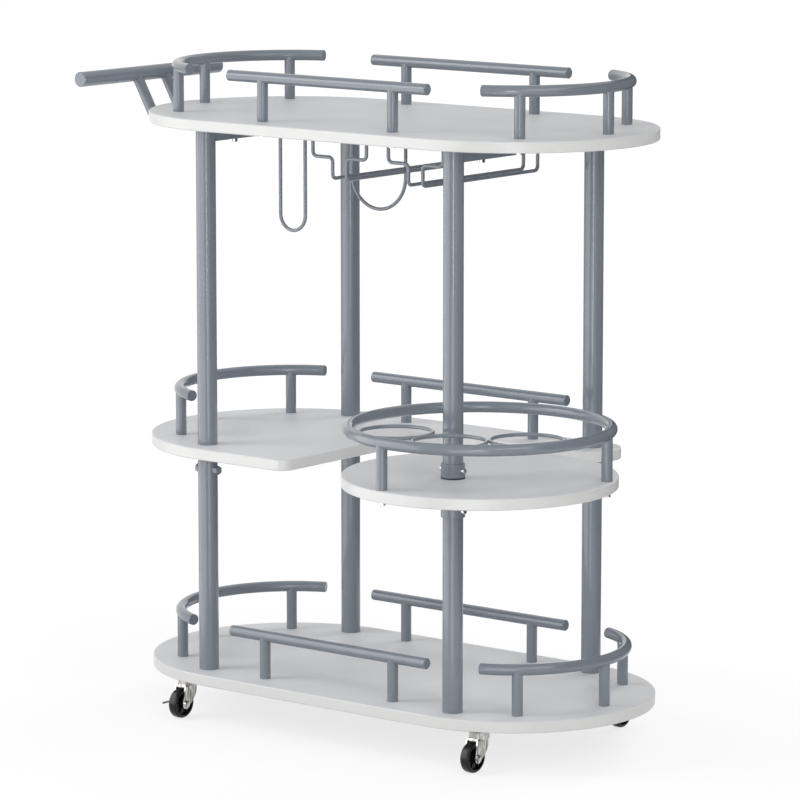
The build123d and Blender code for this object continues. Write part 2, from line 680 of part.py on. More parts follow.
def make_caster_wheel(corner):
    node = "caster_wheel_" + corner
    wheel_x, fork_y = caster_xy(corner)
    axle_y = fork_y + CORNERS[corner][1] * CASTER_TRAIL
    centre = (wheel_x, axle_y, AXLE_Z)
    rib_r = (RIM_D + HUB_BOSS_D) / 4
    with BuildPart() as wheel:
        with BuildSketch(Plane(centre, x_dir=(1, 0, 0), z_dir=(0, -1, 0))) as half_section:
            with Locations((0, WHEEL_D / 4)):
                Rectangle(WHEEL_WIDTH, WHEEL_D / 2)
            fillet(half_section.vertices().group_by(Axis.Z)[-1], TREAD_EDGE)
            for side in (-1, 1):
                with Locations((side * (WHEEL_WIDTH + WEB_THICKNESS) / 4, rib_r)):
                    Rectangle(
                        (WHEEL_WIDTH - WEB_THICKNESS) / 2,
                        (RIM_D - HUB_BOSS_D) / 2,
                        mode=Mode.SUBTRACT,
                    )
        revolve(axis=Axis(centre, (1, 0, 0)))
        with BuildSketch(Plane(centre, x_dir=(0, 1, 0), z_dir=(1, 0, 0))):
            with PolarLocations(rib_r, WHEEL_RIBS):
                Rectangle((RIM_D - HUB_BOSS_D) / 2 + RIB_THICKNESS, RIB_THICKNESS)
        extrude(amount=WHEEL_WIDTH / 2 - TREAD_EDGE / 2, both=True)
        with BuildSketch(Plane(centre, x_dir=(0, 1, 0), z_dir=(1, 0, 0))):
            Circle(AXLE_D / 2 + RUNNING_FIT)
        extrude(amount=WHEEL_WIDTH, both=True, mode=Mode.SUBTRACT)
    wheel.part.label = node
    export_step(wheel.part, f"parts/{node}.step")


def make_brake_lever(corner):
    node = "brake_lever_" + corner
    fork_x, fork_y = caster_xy(corner)
    trail = CORNERS[corner][1]
    axle_y = fork_y + trail * CASTER_TRAIL
    pedal_z = AXLE_Z + BRAKE_RISE
    root_y = axle_y + trail * (BRAKE_REACH - PEDAL_LENGTH)
    inner_x = fork_x - FORK_WIDTH / 2 - BRAKE_PLAY
    with BuildPart() as lever:
        with BuildSketch(Plane.YZ.offset(inner_x)):
            with BuildLine():
                CenterArc((axle_y, AXLE_Z), BRAKE_EYE_D / 2, 0, 360)
                CenterArc((root_y, pedal_z), BRAKE_SHEET / 2, 0, 360)
            make_hull()
        extrude(amount=-BRAKE_SHEET)
        with BuildSketch(Plane((inner_x, root_y + trail * PEDAL_LENGTH / 2, pedal_z))) as pedal:
            Rectangle(PEDAL_WIDTH, PEDAL_LENGTH, align=(Align.MAX, Align.CENTER))
            fillet(pedal.vertices().group_by(Axis.X)[0], PEDAL_CORNER)
        extrude(amount=BRAKE_SHEET / 2, both=True)
        with BuildSketch(Plane.YZ.offset(inner_x)):
            with Locations((axle_y, AXLE_Z)):
                Circle(AXLE_D / 2 + RUNNING_FIT)
        extrude(amount=-BRAKE_SHEET, mode=Mode.SUBTRACT)
    lever.part.label = node
    export_step(lever.part, f"parts/{node}.step")


for corner in CORNERS:
    make_caster_stem(corner)
    make_caster_fork(corner)
    make_caster_axle(corner)
    make_caster_wheel(corner)

for corner in BRAKED_CORNERS:
    make_brake_lever(corner)
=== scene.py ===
# %% [markdown]
# # A bar cart, dressed in Blender
# The cart is a frame of painted steel tube with three white boards, a round tray that swivels
# on one post, and four small casters. Its solids come from the CAD model. This lesson gives
# them their finishes, models the small fasteners that hold everything together, and sets up
# the camera and the studio. Blender works in metres, so a size in millimetres is written as a
# number times MM.

# %% Load the CAD frame
import json
import math

import bpy
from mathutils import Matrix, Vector


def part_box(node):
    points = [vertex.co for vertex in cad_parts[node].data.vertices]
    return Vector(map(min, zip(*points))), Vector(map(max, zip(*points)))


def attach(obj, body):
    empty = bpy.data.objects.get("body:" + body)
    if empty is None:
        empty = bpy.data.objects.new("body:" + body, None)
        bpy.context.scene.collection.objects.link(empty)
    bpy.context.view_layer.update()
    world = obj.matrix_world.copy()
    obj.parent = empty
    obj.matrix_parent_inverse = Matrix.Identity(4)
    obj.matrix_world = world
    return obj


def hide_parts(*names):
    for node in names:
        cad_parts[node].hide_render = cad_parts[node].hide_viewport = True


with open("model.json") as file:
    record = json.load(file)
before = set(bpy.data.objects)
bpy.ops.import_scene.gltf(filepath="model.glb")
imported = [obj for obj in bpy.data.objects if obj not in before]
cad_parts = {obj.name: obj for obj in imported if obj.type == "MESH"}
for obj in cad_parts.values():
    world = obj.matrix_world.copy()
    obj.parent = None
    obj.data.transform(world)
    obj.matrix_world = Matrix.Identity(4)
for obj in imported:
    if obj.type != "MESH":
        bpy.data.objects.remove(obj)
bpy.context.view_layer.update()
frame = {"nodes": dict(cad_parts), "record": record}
nodes = frame["nodes"]
print("CAD nodes:", len(nodes))

# %% [markdown]
# ## Small helpers for finishes
# A colour is easiest to write as the hex value seen on a screen, but shaders work with linear
# light, so one function converts it. Another adds a node, sets its options and sockets and links
# what feeds it, and a third starts an empty finish. With these, a finish reads like a recipe.

# %% Helpers for colours and shader nodes
MM = 0.001


def linear(hex_colour):
    # The numbers are those of the sRGB standard: a short straight start and then a curve
    channels = [int(hex_colour[i:i + 2], 16) / 255 for i in (1, 3, 5)]
    return [c / 12.92 if c <= 0.04045 else ((c + 0.055) / 1.055) ** 2.4 for c in channels] + [1.0]


def add(tree, kind, values=None, links=None, **options):
    made = tree.nodes.new(kind)
    for option, value in options.items():
        setattr(made, option, value)
    for socket, value in (values or {}).items():
        made.inputs[socket].default_value = value
    for socket, source in (links or {}).items():
        tree.links.new(source, made.inputs[socket])
    return made


def new_finish(name):
    finish = bpy.data.materials.new(name)
    finish.use_nodes = True
    finish.node_tree.nodes.clear()
    return finish, finish.node_tree


print("Mid grey in linear light:", round(linear("#808080")[0], 3))

# %% [markdown]
# ## Powder-coated steel tube
# The posts, rails, wires and handle are steel, sprayed with slate-grey powder that melts into a
# skin in the oven. The skin is glossy enough to show a lamp as a clear stripe, but it has a
# faint orange peel: shallow waves about two millimetres wide. A noise of that size drives the
# bump, and a wider one moves the colour and the roughness a little, so that long highlights
# aren't perfectly even. A picture of painted steel would do too, but noise needs no unwrapping
# and keeps its size on every piece.

# %% Powder coat
PEEL_MM = 2.2
PEEL_DETAIL = 2.0
PEEL_STRENGTH = 0.05
PEEL_DEPTH_MM = 0.02
COAT_CLOUD_MM = 60
COAT_ROUGHNESS = 0.16
COAT_SPREAD = 0.03
COAT_IOR = 1.5

slate_paint, tree = new_finish("slate_powder_coat")
place = add(tree, "ShaderNodeTexCoord").outputs["Object"]
peel = add(
    tree,
    "ShaderNodeTexNoise",
    {"Scale": 1 / (PEEL_MM * MM), "Detail": PEEL_DETAIL},
    {"Vector": place},
)
cloud = add(tree, "ShaderNodeTexNoise", {"Scale": 1 / (COAT_CLOUD_MM * MM)}, {"Vector": place})
tint = add(tree, "ShaderNodeValToRGB", links={"Fac": cloud.outputs["Fac"]})
tint.color_ramp.elements[0].color = linear("#7a828b")
tint.color_ramp.elements[1].color = linear("#818992")
rough = add(
    tree,
    "ShaderNodeMapRange",
    {"To Min": COAT_ROUGHNESS - COAT_SPREAD, "To Max": COAT_ROUGHNESS + COAT_SPREAD},
    {"Value": cloud.outputs["Fac"]},
)
bump = add(
    tree,
    "ShaderNodeBump",
    {"Strength": PEEL_STRENGTH, "Distance": PEEL_DEPTH_MM * MM},
    {"Height": peel.outputs["Fac"]},
)
skin = add(
    tree,
    "ShaderNodeBsdfPrincipled",
    {"IOR": COAT_IOR},
    {
        "Base Color": tint.outputs["Color"],
        "Roughness": rough.outputs["Result"],
        "Normal": bump.outputs["Normal"],
    },
)
add(tree, "ShaderNodeOutputMaterial", links={"Surface": skin.outputs["BSDF"]})
print("Finish:", slate_paint.name)

# %% [markdown]
# ## White boards
# The boards are fibreboard faced with pale melamine. The face is pressed with a fine pearl
# texture and has a soft sheen. The real pearl is finer than a pixel, so it is drawn about four
# times as coarse. The edge is a strip of smooth white plastic. Two materials on one board would
# mean changing its mesh, so one shader tells the two apart by the direction in which the surface
# faces: upright is edge, level is face.

# %% Melamine board
PEARL_MM = 1.6
PEARL_DETAIL = 3.0
PEARL_STRENGTH = 0.15
PEARL_DEPTH_MM = 0.03
BOARD_CLOUD_MM = 90
EDGE_ROUGHNESS = 0.35
FACE_ROUGHNESS = 0.52
MELAMINE_IOR = 1.5

white_board, tree = new_finish("white_melamine_board")
place = add(tree, "ShaderNodeTexCoord").outputs["Object"]
normal = add(tree, "ShaderNodeNewGeometry").outputs["Normal"]
facing = add(tree, "ShaderNodeSeparateXYZ", links={0: normal})
level = add(tree, "ShaderNodeMath", operation="ABSOLUTE", links={0: facing.outputs["Z"]})
cloud = add(tree, "ShaderNodeTexNoise", {"Scale": 1 / (BOARD_CLOUD_MM * MM)}, {"Vector": place})
face_tint = add(tree, "ShaderNodeValToRGB", links={"Fac": cloud.outputs["Fac"]})
face_tint.color_ramp.elements[0].color = linear("#d7d8da")
face_tint.color_ramp.elements[1].color = linear("#dddee0")
tint = add(
    tree,
    "ShaderNodeMix",
    {"A": linear("#dededd")},
    {"Factor": level.outputs[0], "B": face_tint.outputs["Color"]},
    data_type="RGBA",
)
rough = add(
    tree,
    "ShaderNodeMapRange",
    {"To Min": EDGE_ROUGHNESS, "To Max": FACE_ROUGHNESS},
    {"Value": level.outputs[0]},
)
pearl = add(
    tree,
    "ShaderNodeTexNoise",
    {"Scale": 1 / (PEARL_MM * MM), "Detail": PEARL_DETAIL},
    {"Vector": place},
)
bump = add(
    tree,
    "ShaderNodeBump",
    {"Strength": PEARL_STRENGTH, "Distance": PEARL_DEPTH_MM * MM},
    {"Height": pearl.outputs["Fac"]},
)
skin = add(
    tree,
    "ShaderNodeBsdfPrincipled",
    {"IOR": MELAMINE_IOR},
    {
        "Base Color": tint.outputs["Result"],
        "Roughness": rough.outputs["Result"],
        "Normal": bump.outputs["Normal"],
    },
)
add(tree, "ShaderNodeOutputMaterial", links={"Surface": skin.outputs["BSDF"]})
print("Finish:", white_board.name)

# %% [markdown]
# ## Plated steel
# The casters are pressed from rolled sheet and zinc plated, and the bolts and screws are nickel
# plated. Both are metals, so they show mostly what stands around them. Plating is never quite
# even, and the rolled sheet keeps upright streaks. The real ones are too fine to show, so they are
# drawn a few millimetres wide, by a noise that is stretched along Z and makes some of them darker
# and duller than others.

# %% Zinc and nickel plate
STREAK_DETAIL = 3.0
STREAK_DARK_AT = 0.35
STREAK_BRIGHT_AT = 0.65
PLATE_SPREAD = 0.06


def plated_steel(name, dull, bright, roughness, streak_mm, stretch):
    finish, tree = new_finish(name)
    place = add(tree, "ShaderNodeTexCoord").outputs["Object"]
    drawn = add(tree, "ShaderNodeMapping", {"Scale": (1, 1, 1 / stretch)}, {"Vector": place})
    streaks = add(
        tree,
        "ShaderNodeTexNoise",
        {"Scale": 1 / (streak_mm * MM), "Detail": STREAK_DETAIL},
        {"Vector": drawn.outputs["Vector"]},
    )
    tint = add(tree, "ShaderNodeValToRGB", links={"Fac": streaks.outputs["Fac"]})
    tint.color_ramp.elements[0].position = STREAK_DARK_AT
    tint.color_ramp.elements[0].color = linear(dull)
    tint.color_ramp.elements[1].position = STREAK_BRIGHT_AT
    tint.color_ramp.elements[1].color = linear(bright)
    rough = add(
        tree,
        "ShaderNodeMapRange",
        {"To Min": roughness + PLATE_SPREAD, "To Max": roughness - PLATE_SPREAD},
        {"Value": streaks.outputs["Fac"]},
    )
    skin = add(
        tree,
        "ShaderNodeBsdfPrincipled",
        {"Metallic": 1.0},
        {"Base Color": tint.outputs["Color"], "Roughness": rough.outputs["Result"]},
    )
    add(tree, "ShaderNodeOutputMaterial", links={"Surface": skin.outputs["BSDF"]})
    print("Finish:", name)
    return finish


zinc_steel = plated_steel(
    "zinc_plated_steel",
    "#7d7a76",
    "#dad8d4",
    roughness=0.16,
    streak_mm=3.0,
    stretch=8,
)
nickel_bolt = plated_steel(
    "nickel_plated_steel",
    "#c6c3be",
    "#dedcd8",
    roughness=0.22,
    streak_mm=2.0,
    stretch=1,
)

# %% [markdown]
# ## Moulded plastic
# The wheels are black nylon and the washer under the upper collar is dark grey nylon. Both come
# out of a mould with a fine spark-eroded grain, which makes the sheen uneven and takes the edge
# off the highlights. The real grain is too fine to show, so it is drawn several times as coarse.
# One function makes both, because only the colour, the gloss and the grain differ.

# %% Black wheels and the dark washer
GRAIN_DETAIL = 3.0
GRAIN_STRENGTH = 0.1
GRAIN_DEPTH_MM = 0.03
NYLON_SPREAD = 0.06
NYLON_IOR = 1.53
NYLON_SPECULAR = 0.3


def moulded_nylon(name, colour, roughness, grain_mm):
    finish, tree = new_finish(name)
    place = add(tree, "ShaderNodeTexCoord").outputs["Object"]
    grain = add(
        tree,
        "ShaderNodeTexNoise",
        {"Scale": 1 / (grain_mm * MM), "Detail": GRAIN_DETAIL},
        {"Vector": place},
    )
    rough = add(
        tree,
        "ShaderNodeMapRange",
        {"To Min": roughness - NYLON_SPREAD, "To Max": roughness + NYLON_SPREAD},
        {"Value": grain.outputs["Fac"]},
    )
    bump = add(
        tree,
        "ShaderNodeBump",
        {"Strength": GRAIN_STRENGTH, "Distance": GRAIN_DEPTH_MM * MM},
        {"Height": grain.outputs["Fac"]},
    )
    skin = add(
        tree,
        "ShaderNodeBsdfPrincipled",
        {"Base Color": linear(colour), "IOR": NYLON_IOR, "Specular IOR Level": NYLON_SPECULAR},
        {"Roughness": rough.outputs["Result"], "Normal": bump.outputs["Normal"]},
    )
    add(tree, "ShaderNodeOutputMaterial", links={"Surface": skin.outputs["BSDF"]})
    print("Finish:", name)
    return finish


black_wheel = moulded_nylon("black_nylon", "#0c0c0d", roughness=0.24, grain_mm=1.5)
dark_washer = moulded_nylon("dark_grey_nylon", "#2b3036", roughness=0.5, grain_mm=1.0)

# %% [markdown]
# ## Dress the CAD solids
# The record of the part names a material slot for every solid. Its mesh gets the finish of that
# slot and is otherwise left alone, so the solids keep their shape and place. A loop over the
# record makes sure that none is forgotten.

# %% Give each CAD node the finish of its slot
finish_of = {
    "white_board": white_board,
    "slate_paint": slate_paint,
    "zinc_steel": zinc_steel,
    "nickel_bolt": nickel_bolt,
    "black_wheel": black_wheel,
    "dark_washer": dark_washer,
}
for entry in frame["record"]["subparts"]:
    mesh = nodes[entry["node"]].data
    mesh.materials.clear()
    mesh.materials.append(finish_of[entry["material_slot"]])

# %% [markdown]
# ## Helpers for modelling
# Every operator works on what is selected, so a new piece starts with nothing selected. Edges
# are then picked by their place, which still works after a size has been changed. A round bar is
# the start of nearly every fastener: its end is eased by a bevel, and other bars carve it.

# %% Start, pick, carve and ease
TOUCH = 0.01 * MM
ROUND_SIDES = 32


def start_fresh():
    bpy.ops.object.select_all(action="DESELECT")


def pick_edges(piece, test):
    bpy.ops.object.mode_set(mode="EDIT")
    bpy.ops.mesh.select_mode(type="EDGE")
    bpy.ops.mesh.select_all(action="DESELECT")
    bpy.ops.object.mode_set(mode="OBJECT")
    corners = piece.data.vertices
    for edge in piece.data.edges:
        edge.select = all(test(corners[i].co) for i in edge.vertices)
    bpy.ops.object.mode_set(mode="EDIT")


def carve(piece, tool, operation):
    bpy.context.view_layer.objects.active = piece
    cut = piece.modifiers.new("cut", "BOOLEAN")
    cut.operation = operation
    cut.object = tool
    bpy.ops.object.modifier_apply(modifier=cut.name)


def round_bar(radius, bottom, top, sides=ROUND_SIDES):
    start_fresh()
    bpy.ops.mesh.primitive_cylinder_add(
        vertices=sides,
        radius=radius,
        depth=top - bottom,
        location=(0, 0, (top + bottom) / 2),
        rotation=(0, 0, math.pi / sides),
    )
    bpy.ops.object.transform_apply(location=True, rotation=True)
    return bpy.context.object


def ease_end(piece, end_z, ease, segments):
    pick_edges(piece, lambda corner: abs(corner.z - end_z) < TOUCH)
    bpy.ops.mesh.bevel(offset=ease, segments=segments)
    bpy.ops.object.mode_set(mode="OBJECT")


print("Modelling helpers:", [tool.__name__ for tool in (pick_edges, carve, round_bar, ease_end)])

# %% [markdown]
# ## Helpers for copies
# A fastener is modelled once, standing at the origin, and copied to each place that needs one. The
# copies could stay as they are, but dozens of tiny objects are hard to keep track of. So they are
# joined into one mesh, their places are written into it, and it rides on the body that carries it.

# %% Spread and join
SMOOTH_ANGLE = math.radians(35)


def spread(master, name, places, body, slot, turn=(0, 0, 0)):
    copies = []
    for place in places:
        start_fresh()
        master.select_set(True)
        bpy.context.view_layer.objects.active = master
        bpy.ops.object.duplicate()
        copies.append(bpy.context.object)
        copies[-1].location = place
        copies[-1].rotation_euler = turn
    for copy in copies:
        copy.select_set(True)
    bpy.ops.object.transform_apply(location=True, rotation=True)
    if len(copies) > 1:
        bpy.ops.object.join()
    piece = bpy.context.object
    piece.name = name
    bpy.ops.object.shade_smooth_by_angle(angle=SMOOTH_ANGLE)
    piece.data.materials.append(finish_of[slot])
    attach(piece, body)
    print(name, "copies:", len(copies))
    return piece


def join_to(piece, extra):
    start_fresh()
    extra.select_set(True)
    piece.select_set(True)
    bpy.context.view_layer.objects.active = piece
    bpy.ops.object.join()


print("Copying helpers:", [tool.__name__ for tool in (spread, join_to)])

# %% [markdown]
# ## Where the fasteners go
# The places could be typed in as numbers, but the CAD meshes already know where every upright
# stands: its foot is a ring of vertices at the lowest level of the rail. Gathering those vertices
# into rings gives the middle of each foot, so a bolt can be put right below it, and it would
# follow if the rail were moved.

# %% Find the feet of the CAD solids
FOOT_REACH = 20 * MM


def feet(node, reach=FOOT_REACH):
    corners = [corner.co for corner in nodes[node].data.vertices]
    floor_z = min(corner.z for corner in corners)
    rings = []
    for corner in corners:
        if corner.z - floor_z > TOUCH:
            continue
        near = [ring for ring in rings if (ring[0] - corner).length < reach]
        if near:
            near[0].append(corner)
        else:
            rings.append([corner])
    middles = []
    for ring in rings:
        lows = [min(corner[axis] for corner in ring) for axis in range(3)]
        highs = [max(corner[axis] for corner in ring) for axis in range(3)]
        middles.append((Vector(lows) + Vector(highs)) / 2)
    return middles


def middle_xy(node):
    low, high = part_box(node)
    return (low[0] + high[0]) / 2, (low[1] + high[1]) / 2


def underside(node):
    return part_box(node)[0][2]


print("Feet of one bent rail:", len(feet("top_rail_left")))

# %% [markdown]
# ## Socket-head bolts on washers
# Every upright of a rail, both crossbars and the handle are bolted on from below, and only the
# heads show. A head is a cylinder with a bevelled rim and a six-sided socket for the key, on a
# thin washer. An inset that is pushed in would give a round socket, so a six-sided bar carves it.
# The handle's bolts reach into the round strut a little, so that no gap shows at their sides.

# %% Model a bolt that faces down
SEAT = 0.2 * MM
WASHER_R = 5.4 * MM
WASHER_HEIGHT = 1.0 * MM
WASHER_EASE = 0.3 * MM
BOLT_R = 4.75 * MM
HEAD_EASE = 0.6 * MM
KEY_SIDES = 6
KEY_SHARE = 0.52
KEY_DEPTH = 2.4 * MM
OVERSHOOT = 1.0 * MM


def socket_head(radius, height, bite):
    head = round_bar(radius, -height, bite)
    ease_end(head, -height, HEAD_EASE, segments=2)
    key = round_bar(KEY_SHARE * radius, -height - OVERSHOOT, KEY_DEPTH - height, KEY_SIDES)
    carve(head, key, "DIFFERENCE")
    bpy.data.objects.remove(key)
    return head


def socket_bolt(height, bite):
    bolt = socket_head(BOLT_R, height, bite)
    washer = round_bar(WASHER_R, -WASHER_HEIGHT, bite)
    ease_end(washer, -WASHER_HEIGHT, WASHER_EASE, segments=1)
    join_to(bolt, washer)
    print("Bolt faces:", len(bolt.data.polygons))
    return bolt


print("Socket across its corners in mm:", round(2 * KEY_SHARE * BOLT_R / MM, 2))

# %% Bolts of the crossbars and the handle
STRUT_BITE = 1.6 * MM

bolted = {
    "crossbar_bolts": ("crossbar_left", SEAT),
    "handle_bolts": ("push_handle", STRUT_BITE),
}
for node, (holder, bite) in bolted.items():
    heads = feet(node)
    seat_z = underside(holder)
    bolt_height = seat_z - heads[0].z
    bolt = socket_bolt(bolt_height, bite)
    places = [(head.x, head.y, seat_z) for head in heads]
    piece = spread(bolt, node.replace("bolts", "socket_bolts"), places, "frame", "nickel_bolt")
    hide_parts(node)
    bpy.data.objects.remove(bolt)

# %% Bolts below the rails' uprights
RAIL_BOLT_HEIGHT = 5.0 * MM

decks = {
    "top": (
        "top_board",
        ["top_rail_front", "top_rail_back", "top_rail_left", "top_rail_right"],
        "frame",
    ),
    "shelf": ("middle_shelf", ["shelf_rail_back", "shelf_rail_left"], "frame"),
    "bottom": (
        "bottom_board",
        ["bottom_rail_front", "bottom_rail_back", "bottom_rail_left", "bottom_rail_right"],
        "frame",
    ),
    "tray": ("tray_board", ["tray_ring"], "tray"),
}
rail_bolt = socket_bolt(RAIL_BOLT_HEIGHT, SEAT)
for deck, (board, rails, body) in decks.items():
    places = [(foot.x, foot.y, underside(board)) for rail in rails for foot in feet(rail)]
    spread(rail_bolt, "rail_bolts_" + deck, places, body, "nickel_bolt")
bpy.data.objects.remove(rail_bolt)

# %% [markdown]
# ## Screws through the collars
# Each stop collar is pinned to the post by a slim screw: a socket head on the right, a nut and the
# end of the thread on the left. The nut starts as a six-sided cylinder. A bevel would ease its
# flats as much as its corners. So the corners are taken off by keeping only what the nut shares
# with a round bar whose end is bevelled, as a turning tool does on a real nut.

# %% Model a nut that faces up
FACE_RIGHT = (0, math.pi / 2, 0)
FACE_LEFT = (0, -math.pi / 2, 0)
THREAD_R = 2.4 * MM
THREAD_EASE = 0.4 * MM
THREAD_END = 1.0 * MM
COLLAR_BITE = 1.0 * MM
NUT_SIDES = 6
NUT_FLATS = 8.0 * MM
NUT_HEIGHT = 2.6 * MM
TURNED_SIDES = 48
TURNED_EASE = 0.5 * MM


def hexagon(flats, bottom, top):
    corner_r = flats / math.sqrt(3)
    prism = round_bar(corner_r, bottom, top, NUT_SIDES)
    turned = round_bar(corner_r, bottom - OVERSHOOT, top, TURNED_SIDES)
    ease_end(turned, top, TURNED_EASE, segments=2)
    carve(prism, turned, "INTERSECT")
    bpy.data.objects.remove(turned)
    return prism


def add_stub(piece, top):
    stub = round_bar(THREAD_R, 0, top)
    ease_end(stub, top, THREAD_EASE, segments=1)
    join_to(piece, stub)


collar_nut = hexagon(NUT_FLATS, -COLLAR_BITE, NUT_HEIGHT)
add_stub(collar_nut, NUT_HEIGHT + THREAD_END)
print("Nut faces:", len(collar_nut.data.polygons))

# %% Put the collars' screws in place
COLLAR_SCREW_R = 3.4 * MM
COLLAR_SCREW_HEIGHT = 4.0 * MM

post_x, post_y = middle_xy("post_front_right")
collar_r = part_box("stop_collar_upper")[1][0] - post_x
levels = []
for collar in ("stop_collar_upper", "stop_collar_lower"):
    low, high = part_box(collar)
    levels.append((low[2] + high[2]) / 2)
# The head is modelled facing down, so the turn that takes the nut to the left takes it to the right
collar_screw = socket_head(COLLAR_SCREW_R, COLLAR_SCREW_HEIGHT, COLLAR_BITE)
places = [(post_x + collar_r, post_y, level) for level in levels]
piece = spread(collar_screw, "collar_screw_heads", places, "frame", "nickel_bolt", FACE_LEFT)
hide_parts("collar_screws")
places = [(post_x - collar_r, post_y, level) for level in levels]
spread(collar_nut, "collar_screw_nuts", places, "frame", "nickel_bolt", FACE_LEFT)
bpy.data.objects.remove(collar_screw)
bpy.data.objects.remove(collar_nut)

# %% [markdown]
# ## Bolts across the posts
# Below the shelf a bolt goes right through each of three posts. It is painted with the posts. The
# head is a hexagon on the right, with a corner up, and the nut on the left shows the thread's end.
# The function for nuts makes both. They reach a little into the round post, so that no gap shows
# at their sides.

# %% Hexagon heads and nuts on the posts
HEAD_FLATS = 10.0 * MM
HEAD_HEIGHT = 6.0 * MM
POST_NUT_HEIGHT = 4.5 * MM
POST_BITE = 1.6 * MM

low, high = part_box("post_bolts")
bolt_level = (low[2] + high[2]) / 2
bolted_posts = ("post_front_left", "post_back_left", "post_back_right")
post_middles = [middle_xy(post) for post in bolted_posts]
post_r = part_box("post_front_left")[1][0] - post_middles[0][0]
bolt_head = hexagon(HEAD_FLATS, -POST_BITE, HEAD_HEIGHT)
places = [(x + post_r, y, bolt_level) for x, y in post_middles]
piece = spread(bolt_head, "post_bolt_heads", places, "frame", "slate_paint", FACE_RIGHT)
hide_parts("post_bolts")
bolt_nut = hexagon(HEAD_FLATS, -POST_BITE, POST_NUT_HEIGHT)
add_stub(bolt_nut, HEAD_HEIGHT)
places = [(x - post_r, y, bolt_level) for x, y in post_middles]
spread(bolt_nut, "post_bolt_nuts", places, "frame", "slate_paint", FACE_LEFT)
bpy.data.objects.remove(bolt_head)
bpy.data.objects.remove(bolt_nut)

# %% [markdown]
# ## Screws in the flanges
# Three posts carry the shelf on round flanges that are let into its underside, and the tray hangs
# on the flange of its hub. Pan-head screws hold both, evenly spaced on a circle. A pan head is
# low, with a well-rounded rim and a cross-shaped drive. The cross is carved by one bar, used twice
# with a quarter turn between, so that both arms come out alike.

# %% Model a pan head that faces down
PAN_R = 3.2 * MM
PAN_HEIGHT = 2.0 * MM
PAN_EASE = 1.0 * MM
DRIVE_LENGTH = 3.6 * MM
DRIVE_WIDTH = 0.8 * MM
DRIVE_DEPTH = 1.0 * MM

pan_screw = round_bar(PAN_R, -PAN_HEIGHT, SEAT)
ease_end(pan_screw, -PAN_HEIGHT, PAN_EASE, segments=4)
start_fresh()
bpy.ops.mesh.primitive_cube_add(
    size=1,
    location=(0, 0, -PAN_HEIGHT),
    scale=(DRIVE_LENGTH, DRIVE_WIDTH, 2 * DRIVE_DEPTH),
)
drive = bpy.context.object
carve(pan_screw, drive, "DIFFERENCE")
drive.rotation_euler.z = math.pi / 2
carve(pan_screw, drive, "DIFFERENCE")
bpy.data.objects.remove(drive)
print("Pan head faces:", len(pan_screw.data.polygons))

# %% Put the screws in the flanges
FLANGE_REACH = 60 * MM
FLANGE_SCREWS = 3
FLANGE_SCREW_R = 17.2 * MM
HUB_SCREWS = 4
HUB_SCREW_R = 23.5 * MM
HUB_FLANGE = 3.0 * MM


def on_circle(middle, radius, count, level):
    x, y = middle[:2]
    turns = [2 * math.pi * (n + 0.5) / count for n in range(count)]
    return [(x + radius * math.cos(t), y + radius * math.sin(t), level) for t in turns]


places = []
for flange in feet("shelf_flanges", FLANGE_REACH):
    places += on_circle(flange, FLANGE_SCREW_R, FLANGE_SCREWS, flange.z)
spread(pan_screw, "flange_screws", places, "frame", "nickel_bolt")
hub_level = underside("tray_board") - HUB_FLANGE
places = on_circle(middle_xy("tray_hub"), HUB_SCREW_R, HUB_SCREWS, hub_level)
spread(pan_screw, "hub_screws", places, "tray", "nickel_bolt")
bpy.data.objects.remove(pan_screw)

# %% [markdown]
# ## Domed ends of the wheel axles
# The axles are riveted over, which leaves a low dome at each end. An arc could be spun for it, but
# cutting a sphere by a plane and keeping the cap takes one step. The sphere's radius follows from
# the width and the height of the dome.

# %% Model the dome and put two on each fork
DOME_R = 4.1 * MM
DOME_HEIGHT = 1.1 * MM
DOME_SEGMENTS = 32
SPHERE_RINGS = 96
CORNERS = ("front_left", "back_left", "front_right", "back_right")

sphere_r = (DOME_R**2 + DOME_HEIGHT**2) / (2 * DOME_HEIGHT)
start_fresh()
bpy.ops.mesh.primitive_uv_sphere_add(
    segments=DOME_SEGMENTS,
    ring_count=SPHERE_RINGS,
    radius=sphere_r,
    location=(0, 0, DOME_HEIGHT - sphere_r),
)
bpy.ops.object.transform_apply(location=True)
rivet_dome = bpy.context.object
bpy.ops.object.mode_set(mode="EDIT")
bpy.ops.mesh.select_all(action="SELECT")
bpy.ops.mesh.bisect(plane_co=(0, 0, 0), plane_no=(0, 0, 1), clear_inner=True, use_fill=True)
bpy.ops.object.mode_set(mode="OBJECT")
for corner in CORNERS:
    low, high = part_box("caster_axle_" + corner)
    axle = ((low[1] + high[1]) / 2, (low[2] + high[2]) / 2)
    for side, end_x, turn in (("right", high[0], FACE_RIGHT), ("left", low[0], FACE_LEFT)):
        name = "axle_dome_" + side + "_" + corner
        spread(rivet_dome, name, [(end_x, *axle)], "fork_" + corner, "zinc_steel", turn)
bpy.data.objects.remove(rivet_dome)

# %% [markdown]
# ## Rolled rim of the casters
# The drum on top of each fork holds the ball race, and its upper edge is rolled outwards. A small
# circle that stands upright at the drum's edge is spun once round the stem, much as the real rim
# is rolled, and any other section could be spun the same way. The first and last rings are
# merged, and the normals are turned outwards.

# %% Spin the rim and put one on each fork
DRUM_R = 12.8 * MM
ROLL_R = 0.8 * MM
ROLL_SIDES = 12
ROLL_STEPS = 64

